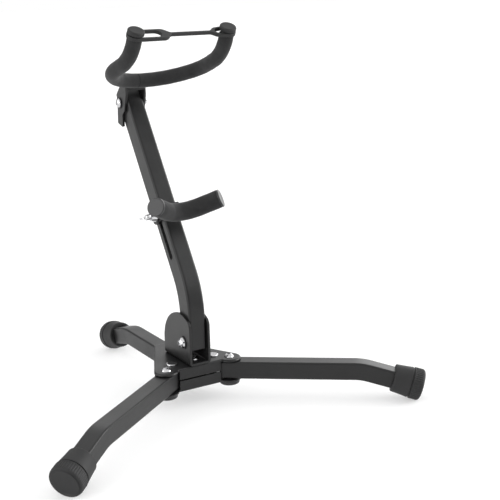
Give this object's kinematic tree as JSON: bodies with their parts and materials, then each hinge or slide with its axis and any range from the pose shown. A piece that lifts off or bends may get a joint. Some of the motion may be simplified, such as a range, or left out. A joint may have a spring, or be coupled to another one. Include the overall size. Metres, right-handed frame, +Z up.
{
  "type": "saxophone stand",
  "caption": "Folding tripod stand with a bent square post, a sliding padded rest and a padded, tilting U-shaped yoke closed by a rubber strap, to hold a saxophone upright.",
  "frame": {"origin": "on the floor, at the middle of the stand's footprint box", "axes": "+Z up; -Y is the front, where the instrument leans and the two folding legs point; +Y is along the fixed rear leg; +X is to the right seen from the front"},
  "size_m": [0.331, 0.2882, 0.3104],
  "materials": {
    "black_powder_coat": "fine textured satin black powder coat",
    "bright_steel": "bright plated",
    "black_steel": "blackened",
    "foot_rubber": "matt ribbed",
    "foam": "matt closed-cell foam",
    "cap_rubber": "smooth soft rubber",
    "strap_rubber": "smooth elastic rubber",
    "black_plastic": "moulded"
  },
  "bodies": {
    "base": {"hub_top_plate": "black_powder_coat", "hub_bottom_plate": "black_powder_coat", "hub_rivets": "bright_steel", "leg_pivot_screws": "bright_steel", "leg_pivot_nuts": "bright_steel", "leg_pivot_nut_caps": "black_plastic", "hub_spacer_washers": "black_plastic", "clevis_screws": "bright_steel", "clevis_nuts": "bright_steel", "leg_rear": "black_powder_coat", "foot_rear": "foot_rubber", "post_clevis": "black_powder_coat", "post_pivot_washers": "black_steel", "post_pivot_bolt": "bright_steel", "post_pivot_nut": "bright_steel"},
    "right_leg": {"leg_right": "black_powder_coat", "foot_right": "foot_rubber"},
    "left_leg": {"leg_left": "black_powder_coat", "foot_left": "foot_rubber"},
    "post": {"post_tube": "black_powder_coat", "post_top_plug": "black_plastic"},
    "rest": {"rest_bracket": "black_powder_coat", "rest_rod": "black_powder_coat", "rest_foam": "foam", "rest_end_plugs": "black_plastic", "rest_clamp_washers": "black_steel", "rest_clamp_bolt": "bright_steel"},
    "wing_nut": {"rest_wing_nut": "bright_steel"},
    "yoke": {"yoke_bracket": "black_powder_coat", "yoke_rod": "black_powder_coat", "yoke_foam": "foam", "yoke_end_caps": "cap_rubber", "yoke_strap": "strap_rubber", "yoke_pivot_washer": "black_steel", "yoke_pivot_bolt": "bright_steel", "yoke_pivot_nut": "bright_steel"}
  },
  "joints": [
    {"name": "right_leg_fold", "type": "hinge", "parent": "base", "child": "right_leg", "pos_m": [0.0295, -0.03644, 0.0255], "axis": [0, 0, 1], "range_deg": [0, 116]},
    {"name": "left_leg_fold", "type": "hinge", "parent": "base", "child": "left_leg", "pos_m": [-0.0295, -0.03644, 0.0255], "axis": [0, 0, -1], "range_deg": [0, 116]},
    {"name": "post_fold", "type": "hinge", "parent": "base", "child": "post", "pos_m": [0, -0.02954, 0.0537], "axis": [-1, 0, 0], "range_deg": [0, 56]},
    {"name": "rest_slide", "type": "slide", "parent": "post", "child": "rest", "axis": [0, 0.5461, 0.8377], "range_m": [-0.036, 0.0075]},
    {"name": "wing_nut_turn", "type": "hinge", "parent": "rest", "child": "wing_nut", "pos_m": [-0.015, 0.00994, 0.15357], "axis": [-1, 0, 0], "continuous": true},
    {"name": "yoke_tilt", "type": "hinge", "parent": "post", "child": "yoke", "pos_m": [0, 0.07091, 0.24251], "axis": [1, 0, 0], "range_deg": [-95, 40]}
  ]
}
